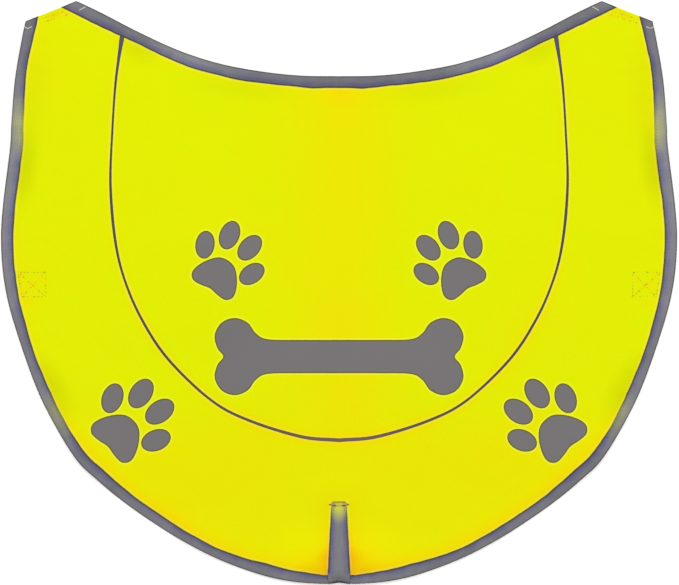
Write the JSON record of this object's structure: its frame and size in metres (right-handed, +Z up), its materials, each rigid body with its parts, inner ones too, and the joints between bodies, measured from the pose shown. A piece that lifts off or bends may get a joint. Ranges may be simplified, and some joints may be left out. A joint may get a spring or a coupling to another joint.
{
  "type": "dog safety vest",
  "caption": "High-visibility vest for a dog, laid flat: yellow knit back and border, grey reflective binding, piped seam, tail vent, belly straps and chest tabs folded beneath.",
  "frame": {"origin": "on the surface that the vest lies on, under the middle of its outline", "axes": "+Z up, out of the vest's outer face; +Y towards the neck; +X to the right as seen from above with the neck away from the viewer"},
  "size_m": [0.57, 0.491, 0.0079],
  "materials": {
    "knit": "fluorescent yellow polyester warp knit, matt",
    "binding_tape": "grey retroreflective tape with a faint blue tint, satin",
    "piping": "dark grey piping tape, matt",
    "strap_webbing": "yellow brushed loop webbing, matt",
    "hook_tape": "yellow hook tape, matt"
  },
  "bodies": {
    "root": {"back_panel": "knit", "border_panel": "knit", "seam_piping": "piping", "neck_binding": "binding_tape", "hem_binding_left": "binding_tape", "hem_binding_right": "binding_tape", "vent_binding_left": "binding_tape", "vent_binding_right": "binding_tape", "belly_strap_left": "strap_webbing", "belly_strap_right": "strap_webbing", "belly_hook_patch": "hook_tape", "chest_tab_left": "hook_tape", "chest_tab_right": "strap_webbing"}
  },
  "joints": []
}
